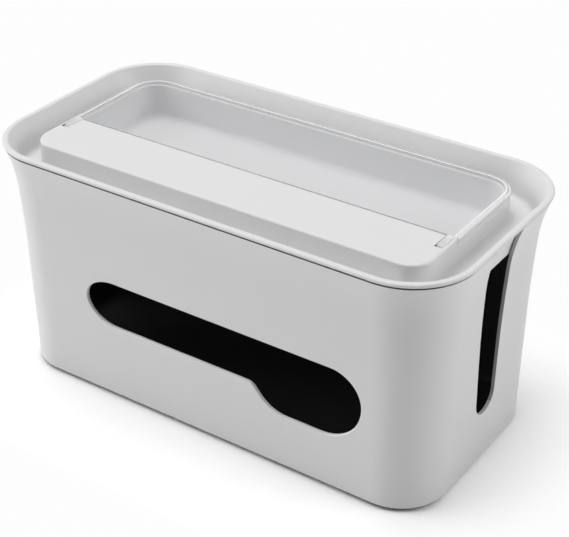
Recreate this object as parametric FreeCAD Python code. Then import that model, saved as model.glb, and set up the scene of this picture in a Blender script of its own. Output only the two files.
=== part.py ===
import FreeCAD, Part
import math
import os

# Cable management box: a flared tub with a viewing window and two end slots,
# a lift-off lid tray, and a clear cover hinged over a storage bay in the lid.
# X runs along the box, -Y is the window side, and the box stands on Z = 0.

V = FreeCAD.Vector
UP = V(0, 0, 1)
ALONG = V(1, 0, 0)
ORIGIN = V(0, 0, 0)

# Overall size, over the rim before its edge is rounded
rim_length = 312.8
rim_width = 160.4
overall_height = 154.0
rim_corner_radius = 40.1

# Wall line, from the top down: a tight flare, a slow flare and a drafted wall
upper_flare_height = 28.4
upper_flare_radius = 86.9
lower_flare_height = 52.9
lower_flare_radius = 899.0
wall_draft_degrees = 0.73

# Tub
body_wall = 2.0
base_thickness = 3.0
base_edge_radius = 2.0
floor_edge_radius = 4.0
opening_edge_chamfer = 0.5
shoulder_chamfer = 0.5

# Parting groove round the tub's top, under the lid's lip
groove_height = 0.6
groove_depth = 0.9

# Viewing window in the front wall: its ends and its step are measured in from the
# rim's ends, and its heights from the tub's underside
window_left_from_end = 72.4
window_right_from_end = 48.6
window_top = 82.2
window_shallow_sill = 51.3
window_deep_sill = 36.2
window_left_upper_height = 14.5
window_left_upper_reach = 21.0
window_left_lower_reach = 20.5
window_right_upper_radius = 20.0
window_step_from_end = 97.6
window_step_degrees = 50.0
window_step_lower_radius = 23.0
window_step_upper_radius = 6.0

# Lead slots in the end walls, open at the top
slot_bottom = 33.2
slot_bottom_radius = 10.9
slot_bottom_centre = 0.5
slot_top_centre = -2.3
slot_top_half_width = 14.9

# Feet
foot_diameter = 16.0
foot_proud = 1.0
foot_recess = 1.2
foot_edge_chamfer = 0.4
foot_inset = 24.0
foot_clearance = 0.2

# Lid tray
lip_height = 2.4
lip_top_width = 4.0
lip_edge_radius = 1.1
lip_lower_chamfer = 0.3
lid_seat_gap = 0.2
lid_side_clearance = 0.6
lid_wall = 2.2
lid_floor = 2.3
channel_depth = 19.6
channel_foot_radius = 3.5
dish_edge_radius = 2.0

# Raised block in the tray and the storage bay in its rear part
block_from_rim_end = 24.1
block_from_rim_side = 23.4
block_below_rim = 1.7
block_front_radius = 13.8
block_back_radius = 18.2
block_edge_radius = 1.4
block_foot_radius = 4.0
block_wall = 2.5
front_room_back_radius = 2.4
bay_front_edge = -18.3
bay_depth = 23.3
bay_wall = 2.4
bay_front_radius = 4.0
bay_floor_radius = 3.0

# Lead hole in the tray's rear channel
lead_hole_length = 26.0
lead_hole_width = 8.0
lead_hole_from_end = 55.4
lead_hole_from_block = 1.9
lead_hole_corner_radius = 3.7

# Clear cover
cover_thickness = 2.0
cover_skirt_height = 6.0
cover_skirt_wall = 1.8
cover_front_gap = 1.0
cover_seat_gap = 0.2
cover_side_clearance = 0.3
cover_edge_radius = 1.2
cover_front_corner_radius = 0.9

# Hinge of the clear cover
hinge_axis_ahead = 9.6
lug_radius = 3.2
lug_width = 4.3
lug_thickness = 3.4
lug_inset = 2.3
lug_side_clearance = 0.4
lug_end_clearance = 0.5
lug_open_clearance = 1.4
hinge_boss_wall = 2.5
pin_diameter = 2.0
pin_running_clearance = 0.05
pin_press_clearance = 0.01
pin_blind_depth = 1.0

# One overrun serves every cut that passes a face
overrun = 5.0

# Nearness at which an edge counts as level with a height
level_tolerance = 1e-4

# Shares of a circle: a quarter turn, and the share of a radius reached half way round it
quarter_turn = 90
diagonal_share = math.sqrt(0.5)

# Heights worked out from the sizes above
tub_bottom = foot_proud
tub_floor = tub_bottom + base_thickness
rim_top = overall_height
flare_mid = rim_top - upper_flare_height
flare_low = flare_mid - lower_flare_height
lip_bottom = rim_top - lip_height
tub_top = lip_bottom - lid_seat_gap
shoulder_top = lip_bottom - groove_height
channel_floor = rim_top - channel_depth
dish_bottom = channel_floor - lid_floor
block_top = rim_top - block_below_rim
bay_floor = block_top - bay_depth
bay_bottom = bay_floor - lid_floor
cover_bottom = block_top - cover_skirt_height
plate_bottom = block_top - cover_thickness

# Plan places worked out from the sizes above
half_length = rim_length / 2
half_width = rim_width / 2
corner_x = half_length - rim_corner_radius
corner_y = half_width - rim_corner_radius
block_x = half_length - block_from_rim_end
block_y = half_width - block_from_rim_side
cover_front = bay_front_edge + cover_front_gap
rebate = cover_skirt_wall + cover_side_clearance
bay_x = block_x - rebate - bay_wall
bay_back = block_y - rebate - bay_wall
hinge_y = cover_front - hinge_axis_ahead
hinge_z = block_top - lug_radius
lug_outer = block_x - lug_inset
lug_inner = lug_outer - lug_width
notch_outer = lug_outer + lug_side_clearance
notch_inner = lug_inner - lug_side_clearance
boss_inner = notch_inner - hinge_boss_wall
inner_shift = body_wall + lid_side_clearance + lid_wall
window_left = window_left_from_end - half_length
window_right = half_length - window_right_from_end
window_step_start = half_length - window_step_from_end
lead_hole_centre = half_length - lead_hole_from_end


def lean(height):
    # Lean of the outer wall line from upright, in radians, at a height
    foot = math.radians(wall_draft_degrees)
    middle = math.asin(math.sin(foot) + lower_flare_height / lower_flare_radius)
    if height <= flare_low:
        return foot
    if height <= flare_mid:
        return math.asin(math.sin(foot) + (height - flare_low) / lower_flare_radius)
    return math.asin(math.sin(middle) + (height - flare_mid) / upper_flare_radius)


def reach(height):
    # Outward reach of the outer wall line from the corner's centre
    upper = upper_flare_radius * (math.cos(lean(flare_mid)) - math.cos(lean(rim_top)))
    lower = lower_flare_radius * (math.cos(lean(flare_low)) - math.cos(lean(flare_mid)))
    at_mid = rim_corner_radius - upper
    at_low = at_mid - lower
    if height <= flare_low:
        return at_low - (flare_low - height) * math.tan(lean(height))
    if height <= flare_mid:
        return at_low + lower_flare_radius * (math.cos(lean(flare_low)) - math.cos(lean(height)))
    return at_mid + upper_flare_radius * (math.cos(lean(flare_mid)) - math.cos(lean(height)))


def arc(first, middle, last):
    return Part.Arc(first, middle, last).toShape()


def quarter_ellipse(centre, wide_end, high_end):
    # Quarter of an ellipse from the end of its long half axis to that of its short one
    ellipse = Part.Ellipse(wide_end, high_end, centre)
    return Part.ArcOfEllipse(ellipse, 0, math.pi / 2).toShape()


def line(first, last):
    return Part.LineSegment(first, last).toShape()


def wall_point(height, shift):
    return V(reach(height) - shift, 0, height)


def wall_edges(shift, low, high):
    # Edges of the wall line, moved inwards by shift, from one height up to another
    stops = [low] + [z for z in (flare_low, flare_mid) if low < z < high] + [high]
    edges = []
    for start, end in zip(stops, stops[1:]):
        first = wall_point(start, shift)
        last = wall_point(end, shift)
        if end <= flare_low:
            edges.append(line(first, last))
        else:
            edges.append(arc(first, wall_point((start + end) / 2, shift), last))
    return edges


def swept(section):
    # Carry a section round the rim's plan: a quarter turn at each corner, straight between,
    # and the middle filled. The section stands in the XZ plane, with X measured outwards
    # from the corner's centre.
    corners = [(corner_x, corner_y), (-corner_x, corner_y),
               (-corner_x, -corner_y), (corner_x, -corner_y)]
    pieces = []
    for index, (x, y) in enumerate(corners):
        next_x, next_y = corners[(index + 1) % len(corners)]
        start = section.copy()
        start.rotate(ORIGIN, UP, quarter_turn * index)
        start.translate(V(x, y, 0))
        pieces.append(start.revolve(V(x, y, 0), UP, quarter_turn))
        end = section.copy()
        end.rotate(ORIGIN, UP, quarter_turn * (index + 1))
        end.translate(V(x, y, 0))
        pieces.append(end.extrude(V(next_x - x, next_y - y, 0)))
    box = section.BoundBox
    pieces.append(Part.makeBox(2 * corner_x, 2 * corner_y, box.ZLength,
                               V(-corner_x, -corner_y, box.ZMin)))
    return pieces[0].multiFuse(pieces[1:]).removeSplitter()


def filled_section(edges, low, high):
    # Close a wall line back to the corner's centre
    top = edges[-1].Vertexes[-1].Point
    foot = edges[0].Vertexes[0].Point
    closing = [line(V(top.x, 0, high), V(0, 0, high)),
               line(V(0, 0, high), V(0, 0, low)),
               line(V(0, 0, low), V(foot.x, 0, low))]
    return Part.Face(Part.Wire(Part.__sortEdges__(edges + closing)))


def inside_wall(shift, low, high):
    # Everything inside the wall line, moved inwards by shift, between two heights
    return swept(filled_section(wall_edges(shift, low, high), low, high))


def rounded_plate(x0, x1, y0, y1, front_radius, back_radius, low, high):
    # Upright plate with one radius at its two front corners and one at its two back corners
    corners = [(x1, y0, -1, 1, front_radius), (x1, y1, -1, -1, back_radius),
               (x0, y1, 1, -1, back_radius), (x0, y0, 1, 1, front_radius)]
    ends = []
    edges = []
    for index, (x, y, sx, sy, radius) in enumerate(corners):
        centre = V(x + sx * radius, y + sy * radius, low)
        on_x = V(x, centre.y, low)
        on_y = V(centre.x, y, low)
        out = radius * diagonal_share
        middle = V(centre.x - sx * out, centre.y - sy * out, low)
        first, last = (on_y, on_x) if index % 2 == 0 else (on_x, on_y)
        edges.append(arc(first, middle, last))
        ends.append((first, last))
    for index in range(len(ends)):
        edges.append(line(ends[index][1], ends[(index + 1) % len(ends)][0]))
    face = Part.Face(Part.Wire(Part.__sortEdges__(edges)))
    return face.extrude(V(0, 0, high - low))


def edges_at(shape, height, test=None):
    # Level edges of a shape at a height, with a test on their middle where one is given
    found = []
    for edge in shape.Edges:
        box = edge.BoundBox
        if max(abs(box.ZMin - height), abs(box.ZMax - height)) > level_tolerance:
            continue
        middle = edge.valueAt((edge.FirstParameter + edge.LastParameter) / 2)
        if test is None or test(middle):
            found.append(edge)
    return found


def window_outline():
    # Window outline in the XZ plane: a pointed left end of two quarter ellipses, a round
    # right end, and a step between the shallow and the deep sill.
    top = tub_bottom + window_top
    shallow = tub_bottom + window_shallow_sill
    deep = tub_bottom + window_deep_sill
    short = 1 - diagonal_share
    right_upper = window_right_upper_radius
    right_lower = top - right_upper - deep
    left_z = top - window_left_upper_height
    right_z = top - right_upper
    turn = math.radians(window_step_degrees)
    rise = shallow - deep
    bends = (window_step_lower_radius + window_step_upper_radius) * (1 - math.cos(turn))
    slope = (rise - bends) / math.sin(turn)
    lower_end = V(window_step_start - window_step_lower_radius * math.sin(turn), 0,
                  deep + window_step_lower_radius * (1 - math.cos(turn)))
    lower_middle = V(window_step_start - window_step_lower_radius * math.sin(turn / 2), 0,
                     deep + window_step_lower_radius * (1 - math.cos(turn / 2)))
    upper_start = lower_end + V(-slope * math.cos(turn), 0, slope * math.sin(turn))
    upper_x = upper_start.x - window_step_upper_radius * math.sin(turn)
    upper_middle = V(upper_x + window_step_upper_radius * math.sin(turn / 2), 0,
                     shallow - window_step_upper_radius * (1 - math.cos(turn / 2)))
    upper_end = V(upper_x, 0, shallow)
    left = window_left
    right = window_right
    points = {
        "top left": V(left + window_left_upper_reach, 0, top),
        "top right": V(right - right_upper, 0, top),
        "right": V(right, 0, right_z),
        "deep right": V(right - right_lower, 0, deep),
        "deep left": V(window_step_start, 0, deep),
        "shallow left": V(left + window_left_lower_reach, 0, shallow),
        "left": V(left, 0, left_z),
    }
    upper_right = V(right - right_upper * short, 0, right_z + right_upper * diagonal_share)
    lower_right = V(right - right_lower * short, 0, right_z - right_lower * diagonal_share)
    upper_centre = V(points["top left"].x, 0, left_z)
    lower_centre = V(points["shallow left"].x, 0, left_z)
    edges = [
        line(points["top left"], points["top right"]),
        arc(points["top right"], upper_right, points["right"]),
        arc(points["right"], lower_right, points["deep right"]),
        line(points["deep right"], points["deep left"]),
        arc(points["deep left"], lower_middle, lower_end),
        line(lower_end, upper_start),
        arc(upper_start, upper_middle, upper_end),
        line(upper_end, points["shallow left"]),
        quarter_ellipse(lower_centre, points["left"], points["shallow left"]),
        quarter_ellipse(upper_centre, points["left"], points["top left"]),
    ]
    return Part.Face(Part.Wire(Part.__sortEdges__(edges)))


def slot_outline():
    # Lead slot in the YZ plane: a round bottom, and sides that spread upwards tangent to it
    centre_z = tub_bottom + slot_bottom + slot_bottom_radius
    centre = V(0, slot_bottom_centre, centre_z)
    sides = []
    for side in (-1, 1):
        top = V(0, slot_top_centre + side * slot_top_half_width, tub_top)
        away = top - centre
        turn = math.acos(slot_bottom_radius / away.Length)
        angle = math.atan2(away.z, away.y) - side * turn
        foot = centre + V(0, math.cos(angle), math.sin(angle)) * slot_bottom_radius
        past = top + (top - foot) * (overrun / (top.z - foot.z))
        sides.append((foot, past))
    (left_foot, left_top), (right_foot, right_top) = sides
    edges = [
        arc(left_foot, V(0, centre.y, tub_bottom + slot_bottom), right_foot),
        line(right_foot, right_top),
        line(right_top, left_top),
        line(left_top, left_foot),
    ]
    return Part.Face(Part.Wire(edges))


def foot_places():
    # Centres of the four feet, set in from the tub's underside
    x = corner_x + reach(tub_bottom) - foot_inset
    y = corner_y + reach(tub_bottom) - foot_inset
    return {"front_left": (-x, -y), "front_right": (x, -y),
            "rear_left": (-x, y), "rear_right": (x, y)}


def make_box_body():
    tub = inside_wall(0, tub_bottom, shoulder_top)
    tub = tub.makeFillet(base_edge_radius, edges_at(tub, tub_bottom))
    tub = tub.makeChamfer(shoulder_chamfer, edges_at(tub, shoulder_top))
    tub = tub.fuse(inside_wall(groove_depth, dish_bottom, tub_top))
    hollow = inside_wall(body_wall, tub_floor, tub_top + overrun)
    hollow = hollow.makeFillet(floor_edge_radius, edges_at(hollow, tub_floor))
    tub = tub.cut(hollow)
    window = window_outline()
    window.translate(V(0, -half_width - overrun, 0))
    window = window.extrude(V(0, half_width + overrun, 0))
    slots = slot_outline()
    slots.translate(V(-half_length - overrun, 0, 0))
    slots = slots.extrude(V(rim_length + 2 * overrun, 0, 0))
    tub = tub.cut(window)
    tub = tub.makeChamfer(opening_edge_chamfer, window_edges(tub))
    tub = tub.cut(slots)
    for x, y in foot_places().values():
        tub = tub.cut(Part.makeCylinder(foot_diameter / 2 + foot_clearance, foot_recess,
                                        V(x, y, tub_bottom)))
    return tub


def window_edges(tub):
    # Edges of the window on the outer face of the front wall
    low = tub_bottom + window_deep_sill - overrun
    high = tub_bottom + window_top + overrun
    found = []
    for edge in tub.Edges:
        box = edge.BoundBox
        if box.ZMin < low or box.ZMax > high or box.XMax > corner_x:
            continue
        middle = edge.valueAt((edge.FirstParameter + edge.LastParameter) / 2)
        outside = -(corner_y + reach(middle.z))
        if abs(middle.y - outside) < body_wall / 2:
            found.append(edge)
    return found


def make_foot(x, y):
    foot = Part.makeCylinder(foot_diameter / 2, foot_proud + foot_recess, V(x, y, 0))
    return foot.makeChamfer(foot_edge_chamfer, edges_at(foot, 0))


def dish_section():
    # Section of the tray's outside: the nesting wall, the seat and the lip above it
    nest = wall_edges(body_wall + lid_side_clearance, dish_bottom, lip_bottom)
    lip = wall_edges(0, lip_bottom, rim_top)
    seat = line(nest[-1].Vertexes[-1].Point, lip[0].Vertexes[0].Point)
    return filled_section(nest + [seat] + lip, dish_bottom, rim_top)


def dish_hollow():
    # Room inside the tray: one arc from the channel's foot up to the inside of the lip
    high = rim_top + overrun
    middle = (channel_floor + rim_top) / 2
    first = wall_point(channel_floor, inner_shift)
    through = wall_point(middle, inner_shift)
    last = wall_point(rim_top, lip_top_width)
    above = V(last.x, 0, high)
    edges = [arc(first, through, last), line(last, above)]
    hollow = swept(filled_section(edges, channel_floor, high))
    return hollow.makeFillet(channel_foot_radius, edges_at(hollow, channel_floor))


def make_block():
    # Raised block, with its rounded top edge and a fillet where it meets the channel
    block = rounded_plate(-block_x, block_x, -block_y, block_y, block_front_radius,
                          block_back_radius, channel_floor, block_top)
    return block.makeFillet(block_edge_radius, edges_at(block, block_top))


def make_bay(grow, low, high):
    # Storage bay's plan, grown all round by a wall where one is asked for
    return rounded_plate(-bay_x - grow, bay_x + grow, bay_front_edge - grow, bay_back + grow,
                         bay_front_radius + grow, block_back_radius - rebate - bay_wall + grow,
                         low, high)


def hinge_boss(side):
    # Solid corner under the block's top that holds one hinge notch
    front = hinge_y - lug_radius - lug_open_clearance - hinge_boss_wall
    low = hinge_z - lug_radius - lug_end_clearance - hinge_boss_wall
    length = block_x - boss_inner
    left = boss_inner if side > 0 else -block_x
    return Part.makeBox(length, bay_front_edge - front, block_top - low, V(left, front, low))


def hinge_notch(side):
    # Room for one lug of the cover, open at the top and towards the cover's seat
    front = hinge_y - lug_radius - lug_open_clearance
    low = hinge_z - lug_radius - lug_end_clearance
    length = notch_outer - notch_inner
    left = notch_inner if side > 0 else -notch_outer
    back = cover_front + lug_end_clearance
    return Part.makeBox(length, back - front, block_top + overrun - low, V(left, front, low))


def pin_solid(side, radius):
    # Hinge pin, from the boss's inner face to the blind end of its hole
    length = notch_outer + pin_blind_depth - boss_inner
    left = boss_inner if side > 0 else -boss_inner - length
    return Part.makeCylinder(radius, length, V(left, hinge_y, hinge_z), ALONG)


def make_lid_tray():
    tray = swept(dish_section())
    tray = tray.makeFillet(dish_edge_radius, edges_at(tray, dish_bottom))
    tray = tray.makeChamfer(lip_lower_chamfer, lip_lower_edges(tray))
    room = dish_hollow().cut(make_block())
    tray = tray.cut(room)
    tray = tray.makeFillet(lip_edge_radius, edges_at(tray, rim_top))
    tray = tray.makeFillet(block_foot_radius, block_foot_edges(tray))
    tray = tray.fuse(make_bay(bay_wall, bay_bottom, channel_floor))
    tray = tray.cut(front_hollow())
    tray = tray.cut(cover_seat())
    bay = make_bay(0, bay_floor, block_top + overrun)
    bay = bay.makeFillet(bay_floor_radius, edges_at(bay, bay_floor))
    tray = tray.cut(bay)
    for side in (-1, 1):
        tray = tray.cut(hinge_notch(side))
        tray = tray.cut(pin_solid(side, pin_diameter / 2 + pin_press_clearance))
    tray = tray.cut(lead_hole())
    return tray.removeSplitter()


def lip_lower_edges(tray):
    # Outer lower edge of the lip, above the parting line
    inside = reach(lip_bottom) - body_wall / 2
    return edges_at(tray, lip_bottom, lambda p: from_core(p) > inside)


def from_core(point):
    # Distance of a point, in plan, from the rectangle through the corners' centres
    past_x = max(abs(point.x) - corner_x, 0)
    past_y = max(abs(point.y) - corner_y, 0)
    return math.hypot(past_x, past_y)


def block_foot_edges(tray):
    # Foot of the block, where it stands in the channel
    reach_x = block_x + block_foot_radius
    reach_y = block_y + block_foot_radius
    return edges_at(tray, channel_floor,
                    lambda p: abs(p.x) < reach_x and abs(p.y) < reach_y)


def front_hollow():
    # Room under the block's flat front part, with a solid corner left round each hinge
    inside = block_front_radius - block_wall
    room = rounded_plate(-block_x + block_wall, block_x - block_wall,
                         -block_y + block_wall, bay_front_edge - bay_wall,
                         inside, front_room_back_radius,
                         dish_bottom - overrun, block_top - block_wall)
    for side in (-1, 1):
        room = room.cut(hinge_boss(side))
    return room


def cover_seat():
    # Rebate round the bay that the cover's skirt and plate drop into
    high = block_top + overrun
    past = block_x + overrun
    above = Part.makeBox(2 * past, block_y + overrun - bay_front_edge,
                         high - plate_bottom + cover_seat_gap,
                         V(-past, bay_front_edge, plate_bottom - cover_seat_gap))
    around = Part.makeBox(2 * past, block_y + overrun - bay_front_edge,
                          high - cover_bottom + cover_seat_gap,
                          V(-past, bay_front_edge, cover_bottom - cover_seat_gap))
    kept = rounded_plate(-block_x + rebate, block_x - rebate, -block_y, block_y - rebate,
                         block_front_radius, block_back_radius - rebate, channel_floor, high)
    return above.fuse(around.cut(kept)).common(above_block(high))


def above_block(high):
    # Column over the block's plan, so that the rebate leaves the tray's rim alone
    return rounded_plate(-block_x, block_x, -block_y, block_y,
                         block_front_radius, block_back_radius, channel_floor, high)


def lead_hole():
    # Round-ended hole through the channel's floor behind the block
    y0 = block_y + lead_hole_from_block
    x0 = lead_hole_centre - lead_hole_length / 2
    return rounded_plate(x0, x0 + lead_hole_length, y0, y0 + lead_hole_width,
                         lead_hole_corner_radius, lead_hole_corner_radius,
                         dish_bottom - overrun, channel_floor + overrun)


def cover_lug(side):
    # Hinge lug: a round end on the pin's axis and an arm back to the cover's front edge
    left = lug_inner if side > 0 else -lug_outer
    back = cover_front + cover_skirt_wall
    eye = Part.makeCylinder(lug_radius, lug_width, V(left, hinge_y, hinge_z), ALONG)
    arm = Part.makeBox(lug_width, back - hinge_y, lug_thickness,
                       V(left, hinge_y, block_top - lug_thickness))
    relief = Part.makeBox(lug_width, back - cover_front, lug_thickness,
                          V(left, cover_front, plate_bottom - lug_thickness))
    lug = eye.fuse(arm).cut(relief)
    bore = Part.makeCylinder(pin_diameter / 2 + pin_running_clearance, lug_width,
                             V(left, hinge_y, hinge_z), ALONG)
    return lug.cut(bore)


def make_clear_cover():
    back_radius = block_back_radius
    outside = rounded_plate(-block_x, block_x, cover_front, block_y,
                            cover_front_corner_radius, back_radius, cover_bottom, block_top)
    outside = outside.makeFillet(cover_edge_radius, cover_top_edges(outside))
    inside = rounded_plate(-block_x + cover_skirt_wall, block_x - cover_skirt_wall,
                           cover_front - overrun, block_y - cover_skirt_wall,
                           cover_front_corner_radius, back_radius - cover_skirt_wall,
                           cover_bottom - overrun, plate_bottom)
    cover = outside.cut(inside)
    for side in (-1, 1):
        cover = cover.fuse(cover_lug(side))
    return cover.removeSplitter()


def cover_top_edges(plate):
    # Top edges of the cover along its ends and back, with the front left square
    return edges_at(plate, block_top, lambda p: p.y > cover_front + cover_skirt_wall)


def write(name, shape):
    solids = shape.Solids
    print(name, "solids", len(solids), "valid", shape.isValid(),
          "volume", round(shape.Volume, 1), "faces", len(shape.Faces))
    kept = solids[0] if len(solids) == 1 else shape
    kept.exportStep("parts/" + name + ".step")


def build():
    os.makedirs("parts", exist_ok=True)
    write("box_body", make_box_body())
    write("lid_tray", make_lid_tray())
    write("clear_cover", make_clear_cover())
    for name, side in (("hinge_pin_left", -1), ("hinge_pin_right", 1)):
        write(name, pin_solid(side, pin_diameter / 2))
    for place, (x, y) in foot_places().items():
        write("foot_" + place, make_foot(x, y))


build()
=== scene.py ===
import bpy
import bmesh
from math import radians
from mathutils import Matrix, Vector

# lengths are in metres, angles in degrees and powers in watts
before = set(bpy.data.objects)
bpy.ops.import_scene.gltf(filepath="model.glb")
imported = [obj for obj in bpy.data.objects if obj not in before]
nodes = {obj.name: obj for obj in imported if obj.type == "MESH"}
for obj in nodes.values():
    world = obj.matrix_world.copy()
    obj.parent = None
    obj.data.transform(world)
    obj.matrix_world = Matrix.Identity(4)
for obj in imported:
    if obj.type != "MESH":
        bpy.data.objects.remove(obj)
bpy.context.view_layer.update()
print("frame loaded:", len(nodes), "nodes")


class Value:
    # wraps one shader socket, so that a sum on it adds its own Math nodes
    def __init__(self, tree, socket):
        self.tree = tree
        self.socket = socket

    def maths(self, operation, first, second=None):
        node = self.tree.nodes.new("ShaderNodeMath")
        node.operation = operation
        for place, item in enumerate((first, second)):
            if isinstance(item, Value):
                self.tree.links.new(item.socket, node.inputs[place])
            elif item is not None:
                node.inputs[place].default_value = item
        return Value(self.tree, node.outputs[0])

    def __add__(self, other):
        return self.maths("ADD", self, other)

    def __radd__(self, other):
        return self.maths("ADD", other, self)

    def __sub__(self, other):
        return self.maths("SUBTRACT", self, other)

    def __rsub__(self, other):
        return self.maths("SUBTRACT", other, self)

    def __mul__(self, other):
        return self.maths("MULTIPLY", self, other)

    def __rmul__(self, other):
        return self.maths("MULTIPLY", other, self)

    def __gt__(self, other):
        return self.maths("GREATER_THAN", self, other)

    def __lt__(self, other):
        return self.maths("LESS_THAN", self, other)

    def largest(self, other):
        return self.maths("MAXIMUM", self, other)

    def smallest(self, other):
        return self.maths("MINIMUM", self, other)

    def root(self):
        return self.maths("SQRT", self)


class Shader:
    # an emptied node tree, with one method that adds any node
    def __init__(self, tree):
        self.tree = tree
        self.tree.nodes.clear()

    def add(self, kind, settings=None, values=None):
        node = self.tree.nodes.new(kind)
        for name, setting in (settings or {}).items():
            setattr(node, name, setting)
        for name, item in (values or {}).items():
            if isinstance(item, Value):
                self.tree.links.new(item.socket, node.inputs[name])
            else:
                node.inputs[name].default_value = item
        return {out.name: Value(self.tree, out) for out in node.outputs if out.enabled}


class Surface(Shader):
    # a new material, with the shader of one surface
    def __init__(self, name):
        self.material = bpy.data.materials.new(name)
        self.material.use_nodes = True
        super().__init__(self.material.node_tree)
        coordinates = self.add("ShaderNodeTexCoord")
        self.place = coordinates["Object"]
        self.facing = coordinates["Normal"]

    def axes(self, vector):
        split = self.add("ShaderNodeSeparateXYZ", None, {"Vector": vector})
        return split["X"], split["Y"], split["Z"]

    def noise(self, scale, detail, roughness):
        values = {"Vector": self.place, "Scale": scale, "Detail": detail, "Roughness": roughness}
        return self.add("ShaderNodeTexNoise", None, values)["Fac"]

    def blendColours(self, mask, low, high):
        # a Mix node has the colours on its sockets 6 and 7
        values = {0: mask, 6: (*low, 1.0) if isinstance(low, tuple) else low,
                  7: (*high, 1.0) if isinstance(high, tuple) else high}
        return self.add("ShaderNodeMix", {"data_type": "RGBA"}, values)["Result"]

    def bump(self, height, distance, strength):
        values = {"Height": height, "Distance": distance, "Strength": strength}
        return self.add("ShaderNodeBump", None, values)["Normal"]

    def finish(self, values):
        shader = self.add("ShaderNodeBsdfPrincipled", None, values)["BSDF"]
        self.add("ShaderNodeOutputMaterial", None, {"Surface": shader})
        return self.material


# camera, solved on the outlines of the photo
cameraLook = {
    "place": (0.42834, -0.61387, 0.53584),
    "tilt": 58.518,
    "roll": 0.165,
    "turn": 34.301,
    "lens": 92.45,
    "sensorWidth": 36.0,
    "shiftX": 0.0057,
    "shiftY": 0.0060,
}


def makeCamera(look):
    data = bpy.data.cameras.new("camera")
    data.lens = look["lens"]
    data.sensor_width = look["sensorWidth"]
    data.shift_x = look["shiftX"]
    data.shift_y = look["shiftY"]
    camera = bpy.data.objects.new("camera", data)
    camera.location = look["place"]
    camera.rotation_euler = (radians(look["tilt"]), radians(look["roll"]), radians(look["turn"]))
    bpy.context.scene.collection.objects.link(camera)
    bpy.context.scene.camera = camera


# middle of what a noise texture gives
noiseMiddle = 0.5

# white moulded plastic of the tub and the lid
whitePlastic = {
    "tone": (0.80, 0.80, 0.803),
    "toneDrift": (0.785, 0.785, 0.79),
    "driftScale": 9.0,
    "driftDetail": 3.0,
    "driftRoughness": 0.5,
    "roughness": 0.46,
    "roughnessDrift": 0.08,
    "grainScale": 2600.0,
    "grainDetail": 2.0,
    "grainRoughness": 0.6,
    "grainDepth": 0.00004,
    "grainStrength": 0.25,
    "specular": 0.42,
}

# near-black painted shade on the tub's inside, a little lighter towards the rim where more light
# gets in
tubInsideShade = {
    "tone": (0.012, 0.012, 0.013),
    "toneHigh": (0.030, 0.030, 0.032),
    "fadeLow": 0.09,
    "fadeHeight": 0.04,
    "roughness": 0.75,
    "coreX": 0.1163,  # the centres of the round corners are at these distances
    "coreY": 0.0401,
    "turnedIn": -0.008,
    "floorTop": 0.012,
    "floorFacing": 0.5,
}

# shade in the notches of the lid that hold the cover's lugs
lidShade = {
    "notchInner": 0.1252,
    "notchOuter": 0.1305,
    "notchBack": -0.0290,
    "notchFront": -0.0316,
    "notchTop": 0.1520,
    "notchTone": (0.10, 0.10, 0.10),
}

# painted shade in the parting groove under the lid's lip, on the cut faces of the slots and under
# the base's front edge, and a painted highlight on the sill of the window
tubShade = {
    "grooveLow": 0.15082,
    "grooveFrontDrop": 0.00032,
    "grooveTone": (0.03, 0.03, 0.03),
    "slotEnd": 0.130,
    "slotHalfWidth": 0.020,
    "slotFacing": 0.5,
    "slotTone": (0.46, 0.46, 0.46),
    "baseHigh": 0.0026,
    "baseFadeIn": 3.0,
    "baseTone": (0.004, 0.004, 0.004),
    "baseRoughness": 1.0,
    "sillLow": 0.030,
    "sillHigh": 0.070,
    "sillFront": -0.055,
    "sillFacing": 0.3,
    "sillHighlightTone": (0.97, 0.97, 0.97),
}


def plasticSurface(name, look):
    surface = Surface(name)
    drift = surface.noise(look["driftScale"], look["driftDetail"], look["driftRoughness"])
    grain = surface.noise(look["grainScale"], look["grainDetail"], look["grainRoughness"])
    colour = surface.blendColours(drift, look["tone"], look["toneDrift"])
    roughness = look["roughness"] + (drift - noiseMiddle) * look["roughnessDrift"]
    normal = surface.bump(grain, look["grainDepth"], look["grainStrength"])
    return surface, colour, roughness, normal


def insideMask(place, facing, inside):
    # 1 on faces that look into the tub: walls that face its middle, and the floor
    x, y, z = place
    nx, ny, nz = facing
    outX = x - x.largest(-inside["coreX"]).smallest(inside["coreX"])
    outY = y - y.largest(-inside["coreY"]).smallest(inside["coreY"])
    walls = (outX * nx + outY * ny) < inside["turnedIn"]
    floor = (nz > inside["floorFacing"]) * (z < inside["floorTop"])
    return walls.largest(floor)


def slotMask(place, facing, shade):
    # 1 on the cut faces of the two slots, which face along Y near the tub's ends
    x, y = place[:2]
    ny = facing[1]
    atEnd = (x * x > shade["slotEnd"] ** 2) * (y * y < shade["slotHalfWidth"] ** 2)
    return atEnd * (ny * ny > shade["slotFacing"])


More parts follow.
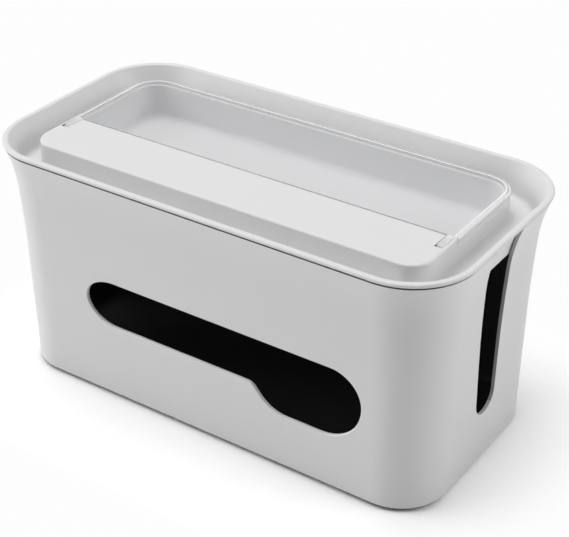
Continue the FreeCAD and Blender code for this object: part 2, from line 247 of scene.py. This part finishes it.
def tubMaterial(look, inside, shade):
    surface, colour, roughness, normal = plasticSurface("tubPlastic", look)
    place = surface.axes(surface.place)
    facing = surface.axes(surface.facing)
    y, height = place[1:]
    toFront = (facing[1] * -1).largest(0)
    # painted shade in the parting groove and under the base's front edge, reaching further on
    # faces turned to the front
    groove = height > shade["grooveLow"] - toFront * shade["grooveFrontDrop"]
    underEdge = (height < shade["baseHigh"]) * (toFront * shade["baseFadeIn"]).smallest(1)
    # painted highlight on the window's sill
    sillHighlight = (height > shade["sillLow"]) * (height < shade["sillHigh"])
    sillHighlight = sillHighlight * (facing[2] > shade["sillFacing"]) * (y < shade["sillFront"])
    # near-black painted shade on the faces inside the tub, lighter towards the rim
    within = insideMask(place, facing, inside)
    fade = ((height - inside["fadeLow"]) * (1 / inside["fadeHeight"])).largest(0).smallest(1)
    dark = surface.blendColours(fade, inside["tone"], inside["toneHigh"])
    # painted shade on the slots' cut faces, in the groove and under the base's edge, then the
    # sill's painted highlight
    tones = ((slotMask(place, facing, shade), shade["slotTone"]), (groove, shade["grooveTone"]),
             (underEdge, shade["baseTone"]), (sillHighlight, shade["sillHighlightTone"]), (within, dark))
    for mask, tone in tones:
        colour = surface.blendColours(mask, colour, tone)
    for mask, rough in ((within, inside["roughness"]), (underEdge, shade["baseRoughness"])):
        roughness = roughness + mask * (rough - look["roughness"])
    return surface.finish({"Base Color": colour, "Roughness": roughness, "Normal": normal,
                           "Specular IOR Level": look["specular"]})


def lidMaterial(look, shade):
    surface, colour, roughness, normal = plasticSurface("lidPlastic", look)
    x, y, z = surface.axes(surface.place)
    across = (x * x).root()
    notch = (across > shade["notchInner"]) * (across < shade["notchOuter"])
    notch = notch * (y > shade["notchFront"]) * (y < shade["notchBack"])
    notch = notch * (z < shade["notchTop"])
    colour = surface.blendColours(notch, colour, shade["notchTone"])
    return surface.finish({"Base Color": colour, "Roughness": roughness, "Normal": normal,
                           "Specular IOR Level": look["specular"]})


# clear moulded cover: a faint haze on its plate, painted highlights at its rim, skirt and lugs,
# and a painted shade line along its front edge, in the gap to the lid
clearPlastic = {
    "haze": (0.74, 0.75, 0.78),
    "hazeDrift": (0.80, 0.81, 0.84),
    "hazeAlpha": 0.10,
    "rim": (0.96, 0.965, 1.0),
    "rimAlpha": 0.30,
    "rimBand": 0.0030,
    "edge": (1.0, 1.0, 1.0),
    "edgeAlpha": 0.85,
    "edgeLine": 0.0009,
    "skirtLow": 0.1471,
    "skirtHigh": 0.1512,
    "skirtAlpha": 0.55,
    "front": (0.34, 0.35, 0.37),
    "frontAlpha": 0.75,
    "frontLine": -0.0168,
    "lugInner": 0.1255,
    "lugAlpha": 0.60,
    "coreX": 0.1141,  # the centres of its two round corners
    "coreY": 0.0386,
    "cornerRadius": 0.0182,
    "roughness": 0.06,
    "roughnessDrift": 0.03,
    "index": 1.49,
    "waveScale": 60.0,
    "waveDetail": 1.0,
    "waveRoughness": 0.4,
    "waveDepth": 0.00002,
    "waveStrength": 0.3,
}


def coverMaterial(look):
    surface = Surface("clearPlastic")
    x, y, z = surface.axes(surface.place)
    outX = x - x.largest(-look["coreX"]).smallest(look["coreX"])
    outY = (y - look["coreY"]).largest(0)
    outwards = (outX * outX + outY * outY).root()
    lug = (x * x > look["lugInner"] ** 2) * (y < look["frontLine"])
    # the rim band, its two edge lines, the skirt and the lugs get painted highlights
    rim = outwards > look["cornerRadius"] - look["rimBand"]
    outer = outwards > look["cornerRadius"] - look["edgeLine"]
    inner = (outwards < look["cornerRadius"] - look["rimBand"] + look["edgeLine"]) * rim
    edge = (outer.largest(inner) * (z > look["skirtHigh"])).largest(z < look["skirtLow"])
    skirt = rim * (z < look["skirtHigh"])
    # painted shade line along the front edge, in the gap to the lid
    front = (y < look["frontLine"]) - lug
    wave = surface.noise(look["waveScale"], look["waveDetail"], look["waveRoughness"])
    colour = surface.blendColours(wave, look["haze"], look["hazeDrift"])
    # painted highlights on the rim, edge lines, skirt and lugs, then the painted shade line at
    # the front
    colour = surface.blendColours(rim, colour, look["rim"])
    colour = surface.blendColours(edge.largest(lug).largest(skirt), colour, look["edge"])
    colour = surface.blendColours(front, colour, look["front"])
    alpha = look["hazeAlpha"]
    parts = ((rim, "rimAlpha"), (skirt, "skirtAlpha"), (edge, "edgeAlpha"), (front, "frontAlpha"),
             (lug, "lugAlpha"))
    for mask, name in parts:
        alpha = alpha + mask * (look[name] - alpha)
    roughness = look["roughness"] + wave * look["roughnessDrift"]
    normal = surface.bump(wave, look["waveDepth"], look["waveStrength"])
    return surface.finish({"Base Color": colour, "Roughness": roughness, "Normal": normal,
                           "Alpha": alpha, "IOR": look["index"]})


# drawn steel of the hinge pins
pinSteel = {
    "tone": (0.55, 0.55, 0.57),
    "toneDark": (0.40, 0.40, 0.42),
    "metallic": 1.0,
    "roughness": 0.3,
    "roughnessDrift": 0.15,
    "lineScale": 3000.0,
    "lineDetail": 2.0,
    "lineRoughness": 0.7,
    "lineDepth": 0.00001,
    "lineStrength": 0.3,
}


def pinMaterial(look):
    surface = Surface("pinSteel")
    lines = surface.noise(look["lineScale"], look["lineDetail"], look["lineRoughness"])
    colour = surface.blendColours(lines, look["tone"], look["toneDark"])
    roughness = look["roughness"] + lines * look["roughnessDrift"]
    normal = surface.bump(lines, look["lineDepth"], look["lineStrength"])
    return surface.finish({"Base Color": colour, "Roughness": roughness, "Normal": normal,
                           "Metallic": look["metallic"]})


# soft rubber of the feet
footRubber = {
    "tone": (0.030, 0.030, 0.031),
    "toneWorn": (0.055, 0.055, 0.056),
    "roughness": 0.75,
    "roughnessDrift": 0.15,
    "grainScale": 1800.0,
    "grainDetail": 3.0,
    "grainRoughness": 0.6,
    "grainDepth": 0.00005,
    "grainStrength": 0.4,
}


def footMaterial(look):
    surface = Surface("footRubber")
    grain = surface.noise(look["grainScale"], look["grainDetail"], look["grainRoughness"])
    colour = surface.blendColours(grain, look["tone"], look["toneWorn"])
    roughness = look["roughness"] + grain * look["roughnessDrift"]
    normal = surface.bump(grain, look["grainDepth"], look["grainStrength"])
    return surface.finish({"Base Color": colour, "Roughness": roughness, "Normal": normal})


def dress(nodeName, material):
    mesh = nodes[nodeName].data
    mesh.materials.clear()
    mesh.materials.append(material)


def dressNodes():
    dress("box_body", tubMaterial(whitePlastic, tubInsideShade, tubShade))
    dress("lid_tray", lidMaterial(whitePlastic, lidShade))
    dress("clear_cover", coverMaterial(clearPlastic))
    pins = pinMaterial(pinSteel)
    rubber = footMaterial(footRubber)
    for name in nodes:
        if name.startswith("hinge_pin"):
            dress(name, pins)
        if name.startswith("foot_"):
            dress(name, rubber)


# pale floor, white surroundings and three large soft lamps: one high up and a lower one on
# each side
studioLook = {
    "floorTone": 0.92,
    "floorSeenTone": 1.26,  # over 1, which brings the lit paper up to white
    "white": 0.985,
    "shadowFromX": 0.138,  # the floor turns white from here on, over the reach
    "shadowFromY": 0.072,
    "shadowReach": 0.072,
    "floorSize": 8.0,
    "worldStrength": 0.0,
    "lampsLookAt": (0.0, 0.0, 0.08),
    "topPlace": (-0.50, 0.0, 3.20),
    "topPower": 70.0,
    "topSize": 2.6,
    "leftPlace": (-2.30, -1.43, 1.12),
    "leftPower": 46.3,
    "leftSize": 2.4,
    "rightPlace": (2.30, 0.79, 1.22),
    "rightPower": 26.0,
    "rightSize": 1.8,
}


def seenRays(shader):
    # 1 on rays that show a thing, straight or in a gloss, and 0 on rays that only bring its light
    rays = shader.add("ShaderNodeLightPath")
    seen = rays["Is Camera Ray"].largest(rays["Is Glossy Ray"])
    return seen.largest(rays["Is Transmission Ray"])


def makeFloor(look):
    # shaded near the box, and fading to plain white further off where it is seen
    surface = Surface("floorPaper")
    seen = seenRays(surface)
    tone = look["floorTone"] + seen * (look["floorSeenTone"] - look["floorTone"])
    x, y = surface.axes(surface.place)[:2]
    besideX = ((x * x).root() - look["shadowFromX"]).largest(0)
    besideY = ((y * y).root() - look["shadowFromY"]).largest(0)
    beside = (besideX * besideX + besideY * besideY).root()
    fade = (beside * (1 / look["shadowReach"])).smallest(1)
    paper = surface.add("ShaderNodeBsdfDiffuse", None, {"Color": tone})["BSDF"]
    white = surface.add("ShaderNodeEmission", None, {"Strength": look["white"]})["Emission"]
    blend = {0: seen * fade, 1: paper, 2: white}
    both = surface.add("ShaderNodeMixShader", None, blend)["Shader"]
    surface.add("ShaderNodeOutputMaterial", None, {"Surface": both})
    shape = bmesh.new()
    bmesh.ops.create_grid(shape, x_segments=1, y_segments=1, size=look["floorSize"] / 2)
    mesh = bpy.data.meshes.new("floor")
    shape.to_mesh(mesh)
    shape.free()
    mesh.materials.append(surface.material)
    floor = bpy.data.objects.new("floor", mesh)
    bpy.context.scene.collection.objects.link(floor)


def makeWorld(look):
    world = bpy.data.worlds.new("studio")
    bpy.context.scene.world = world
    world.use_nodes = True
    shader = Shader(world.node_tree)
    strength = look["worldStrength"] + seenRays(shader) * (look["white"] - look["worldStrength"])
    values = {"Color": (1.0, 1.0, 1.0, 1.0), "Strength": strength}
    background = shader.add("ShaderNodeBackground", None, values)["Background"]
    shader.add("ShaderNodeOutputWorld", None, {"Surface": background})


def makeLamp(side, look):
    data = bpy.data.lights.new(side + "Lamp", "AREA")
    data.shape = "DISK"
    data.energy = look[side + "Power"]
    data.size = look[side + "Size"]
    lamp = bpy.data.objects.new(side + "Lamp", data)
    lamp.location = look[side + "Place"]
    towards = lamp.location - Vector(look["lampsLookAt"])
    lamp.rotation_euler = towards.to_track_quat("Z", "Y").to_euler()
    bpy.context.scene.collection.objects.link(lamp)


makeCamera(cameraLook)
dressNodes()
print("materials done")
makeFloor(studioLook)
makeWorld(studioLook)
for side in ("top", "left", "right"):
    makeLamp(side, studioLook)
bpy.context.scene.view_settings.view_transform = "Standard"
print("studio done")
